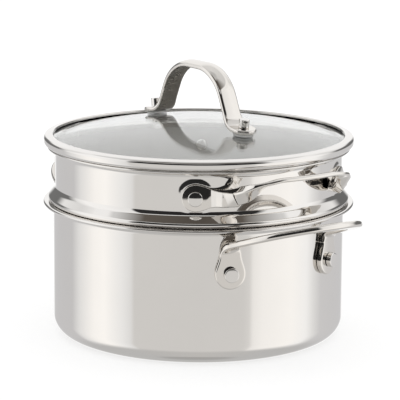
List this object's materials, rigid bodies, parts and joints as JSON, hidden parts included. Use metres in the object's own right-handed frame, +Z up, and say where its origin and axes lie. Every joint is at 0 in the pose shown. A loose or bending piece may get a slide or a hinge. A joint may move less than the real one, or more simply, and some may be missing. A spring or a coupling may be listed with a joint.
{
  "type": "saucepot with steamer insert",
  "caption": "Round steel saucepot with a nesting perforated steamer insert and a domed glass lid; riveted loop handles on pot and insert, arched strap handle on the lid.",
  "frame": {"origin": "centre of the pot's flat base, on the surface it stands on", "axes": "+Z up along the pot's axis; +X towards one pair of side handles, with the lid's handle along X too"},
  "size_m": [0.3088, 0.2164, 0.1914],
  "materials": {
    "pot_steel": "polished stainless steel",
    "steamer_steel": "mirror-polished stainless steel",
    "band_steel": "polished stainless steel",
    "handle_steel": "mirror-polished stainless steel",
    "rivet_steel": "polished stainless steel",
    "lid_glass": "clear tempered glass",
    "gasket_rubber": "milky silicone rubber"
  },
  "bodies": {
    "pot": {"pot_body": "pot_steel", "pot_handle_right": "handle_steel", "pot_rivet_right_a": "rivet_steel", "pot_rivet_right_b": "rivet_steel", "pot_handle_left": "handle_steel", "pot_rivet_left_a": "rivet_steel", "pot_rivet_left_b": "rivet_steel"},
    "steamer": {"steamer_body": "steamer_steel", "steamer_handle_right": "handle_steel", "steamer_rivet_right_a": "rivet_steel", "steamer_rivet_right_b": "rivet_steel", "steamer_handle_left": "handle_steel", "steamer_rivet_left_a": "rivet_steel", "steamer_rivet_left_b": "rivet_steel"},
    "lid": {"lid_glass": "lid_glass", "lid_rim_band": "band_steel", "lid_handle": "handle_steel", "lid_stud_right": "rivet_steel", "lid_upper_gasket_right": "gasket_rubber", "lid_lower_gasket_right": "gasket_rubber", "lid_washer_right": "rivet_steel", "lid_nut_right": "rivet_steel", "lid_stud_left": "rivet_steel", "lid_upper_gasket_left": "gasket_rubber", "lid_lower_gasket_left": "gasket_rubber", "lid_washer_left": "rivet_steel", "lid_nut_left": "rivet_steel"}
  },
  "joints": [
    {"name": "steamer_lift", "type": "slide", "parent": "pot", "child": "steamer", "axis": [0, 0, 1], "range_m": [0, 0.12]},
    {"name": "lid_lift", "type": "slide", "parent": "steamer", "child": "lid", "axis": [0, 0, 1], "range_m": [0, 0.1]}
  ]
}
